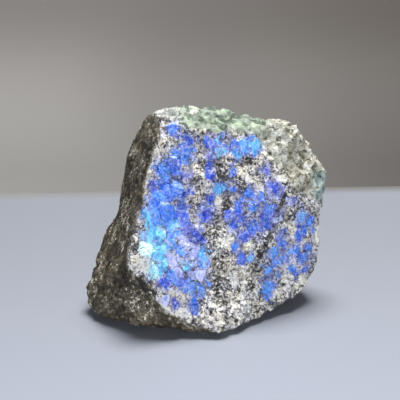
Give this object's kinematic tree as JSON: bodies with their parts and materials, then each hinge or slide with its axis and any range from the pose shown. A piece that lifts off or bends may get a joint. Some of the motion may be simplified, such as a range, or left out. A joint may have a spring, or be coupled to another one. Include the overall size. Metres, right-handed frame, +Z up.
{
  "type": "rough labradorite chunk",
  "caption": "Rough broken chunk of labradorite rock that rests on its flat underside, with one broad cleaved face of blue flashing feldspar grains.",
  "frame": {"origin": "under the middle of the stone's bounding box, on the plane it rests on", "axes": "+Z up, +X along the stone's width, and the broad blue face looks towards -Y"},
  "size_m": [0.0828, 0.057, 0.0677],
  "materials": {
    "labradorite": "broken granular rock with glossy blue cleavage faces on the front and a dull dark rind at the left"
  },
  "bodies": {
    "root": {"labradorite_chunk": "labradorite"}
  },
  "joints": []
}
